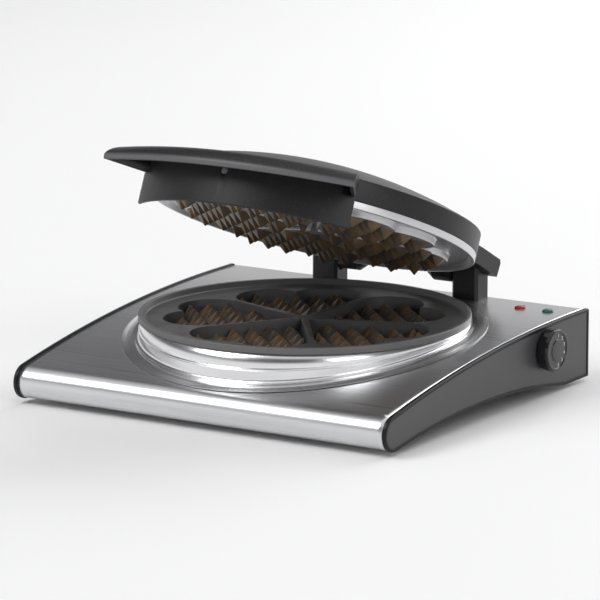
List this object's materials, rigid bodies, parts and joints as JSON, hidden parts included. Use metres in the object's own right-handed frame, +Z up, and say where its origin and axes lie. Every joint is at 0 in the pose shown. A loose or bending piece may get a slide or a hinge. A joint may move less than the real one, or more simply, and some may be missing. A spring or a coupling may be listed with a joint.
{
  "type": "pizzelle maker",
  "caption": "Countertop rosette iron with a wedge-shaped steel base, a round heated plate ringed by a polished drum, and a floating hinged lid with a visor handle.",
  "frame": {"origin": "middle of the footprint's box, at the level of the bench under the rubber feet", "axes": "+X to the object's right, the side with the dial, +Y to the rear, where the lid is hinged, +Z up"},
  "size_m": [0.32, 0.292, 0.193],
  "materials": {
    "brushed_steel": "fine brushed",
    "polished_steel": "mirror polished",
    "black_plastic": "satin, finely textured",
    "dark_plastic": "satin",
    "glossy_black": "gloss",
    "coated_aluminium": "dark non-stick coat, bare machined rim",
    "heater_tube": "dull",
    "plated_steel": "zinc plated",
    "rubber": "matt",
    "red_lens": "clear tinted",
    "green_lens": "clear tinted",
    "phenolic": "matt",
    "wire": "satin"
  },
  "bodies": {
    "base": {"top_shell": "brushed_steel", "plate_collar": "polished_steel", "left_cheek": "black_plastic", "right_cheek": "black_plastic", "base_tray": "black_plastic", "foot_front_left": "rubber", "foot_front_right": "rubber", "foot_rear_left": "rubber", "foot_rear_right": "rubber", "lower_plate": "coated_aluminium", "lower_heater": "heater_tube", "lower_reflector": "plated_steel", "lower_plate_screws": "plated_steel", "thermostat": "phenolic", "thermostat_nut": "plated_steel", "red_lamp": "red_lens", "green_lamp": "green_lens", "lamp_clips": "plated_steel", "terminal_block": "phenolic", "cord_gland": "rubber", "base_wiring": "wire", "tray_screws": "plated_steel", "hinge_bracket": "plated_steel", "left_post": "black_plastic", "right_post": "black_plastic", "post_screws": "plated_steel"},
    "hinge_carrier": {"left_riser": "dark_plastic", "right_riser": "dark_plastic", "riser_crossbar": "plated_steel", "riser_screws": "plated_steel", "left_hinge_pin": "plated_steel", "right_hinge_pin": "plated_steel"},
    "lid": {"lid_cover": "black_plastic", "left_lid_arm": "black_plastic", "right_lid_arm": "black_plastic", "lid_arm_screws": "plated_steel", "handle_shell": "black_plastic", "handle_skirt": "black_plastic", "handle_screws": "plated_steel", "upper_plate": "coated_aluminium", "upper_heater": "heater_tube", "upper_reflector": "plated_steel", "upper_plate_screws": "plated_steel", "thermal_fuse": "phenolic", "lid_wiring": "wire"},
    "dial": {"knob": "glossy_black", "thermostat_shaft": "plated_steel"}
  },
  "joints": [
    {"name": "riser_slide", "type": "slide", "parent": "base", "child": "hinge_carrier", "axis": [0, 0, 1], "range_m": [-0.0058, 0.0022]},
    {"name": "lid_hinge", "type": "hinge", "parent": "hinge_carrier", "child": "lid", "pos_m": [0, 0.1295, 0.0712], "axis": [-1, 0, 0], "range_deg": [-24.2, 70.8]},
    {"name": "dial_turn", "type": "hinge", "parent": "base", "child": "dial", "pos_m": [0.155, 0.0765, 0.0354], "axis": [1, 0, 0], "range_deg": [0, 200]}
  ]
}
